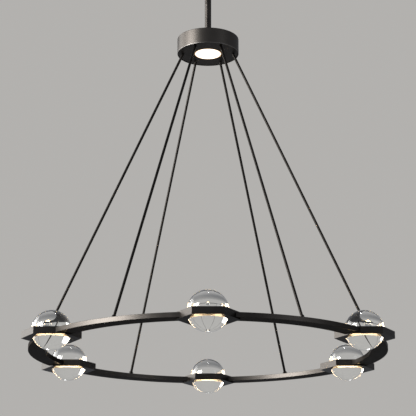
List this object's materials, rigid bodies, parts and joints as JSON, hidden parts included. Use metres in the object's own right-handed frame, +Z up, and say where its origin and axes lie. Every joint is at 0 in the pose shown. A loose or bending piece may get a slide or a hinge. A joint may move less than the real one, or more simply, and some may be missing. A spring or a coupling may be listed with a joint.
{
  "type": "orb chandelier",
  "caption": "Ring chandelier that hangs on rods and a stem, with clear crystal balls lit in hexagonal holders and a round downlight in its hub.",
  "frame": {"origin": "on the ceiling plane, at the centre of the crossbar's two ceiling screws, over the stem's axis", "axes": "+Z up along the stem, +X along the crossbar; the nearest ball of the picture is at -Y"},
  "size_m": [0.936, 1.022, 1.274],
  "materials": {
    "ring_metal": "satin blackened bronze",
    "holder_metal": "smooth blackened bronze, glossier below",
    "hub_metal": "satin blackened bronze",
    "rod_metal": "satin blackened bronze",
    "crystal": "solid clear crystal, polished",
    "warm_light": "light strip, lit warm white",
    "warm_diffuser": "opal, lit warm white",
    "downlight_opal": "opal lens, lit",
    "silicone": "clear silicone",
    "screw_steel": "black oxide",
    "zinc_steel": "zinc plated",
    "cast_aluminium": "plain cast and turned",
    "board": "white solder mask",
    "driver_case": "white moulded",
    "connector_plastic": "pale moulded",
    "lead_jacket": "soft black jacket",
    "nylon": "black nylon",
    "brass_screw": "green-marked earth screw, plain brass"
  },
  "bodies": {
    "ceiling_mount": {"mounting_crossbar": "zinc_steel", "ceiling_canopy": "hub_metal", "canopy_studs": "zinc_steel", "canopy_cap_nuts": "rod_metal", "earth_screw": "brass_screw"},
    "swivel": {"swivel_seat": "nylon"},
    "fixture": {"ring_bar_1": "ring_metal", "ring_bar_2": "ring_metal", "ring_bar_3": "ring_metal", "ring_bar_4": "ring_metal", "ring_bar_5": "ring_metal", "ring_bar_6": "ring_metal", "orb_holder_1": "holder_metal", "orb_holder_2": "holder_metal", "orb_holder_3": "holder_metal", "orb_holder_4": "holder_metal", "orb_holder_5": "holder_metal", "orb_holder_6": "holder_metal", "holder_covers": "holder_metal", "crystal_orb_1": "crystal", "crystal_orb_2": "crystal", "crystal_orb_3": "crystal", "crystal_orb_4": "crystal", "crystal_orb_5": "crystal", "crystal_orb_6": "crystal", "support_rod_1": "rod_metal", "support_rod_2": "rod_metal", "support_rod_3": "rod_metal", "support_rod_4": "rod_metal", "support_rod_5": "rod_metal", "support_rod_6": "rod_metal", "light_strips": "warm_light", "light_diffusers": "warm_diffuser", "orb_seat_rings": "silicone", "cover_screws": "screw_steel", "bar_screws": "screw_steel", "rod_feet": "rod_metal", "foot_nuts": "zinc_steel", "lead_splices": "connector_plastic", "ring_leads": "lead_jacket", "rod_leads": "lead_jacket", "rod_sockets": "zinc_steel", "hub_shell": "hub_metal", "hub_base": "hub_metal", "hub_screws": "screw_steel", "small_hub_screws": "zinc_steel", "downlight_lens": "downlight_opal", "downlight_housing": "cast_aluminium", "downlight_board": "board", "driver": "driver_case", "terminal_block": "connector_plastic", "stem": "rod_metal", "stem_bushings": "zinc_steel", "stem_nipples": "zinc_steel", "stem_locknuts": "zinc_steel", "stem_washer": "zinc_steel", "supply_lead": "lead_jacket", "lead_connector": "connector_plastic", "swivel_ball": "rod_metal"}
  },
  "joints": [
    {"name": "fixture_spin", "type": "hinge", "parent": "ceiling_mount", "child": "swivel", "pos_m": [0, 0, -0.032], "axis": [0, 0, 1], "range_deg": [-180, 180]},
    {"name": "fixture_tilt", "type": "hinge", "parent": "swivel", "child": "fixture", "pos_m": [0, 0, -0.032], "axis": [1, 0, 0], "range_deg": [-20, 20]}
  ]
}
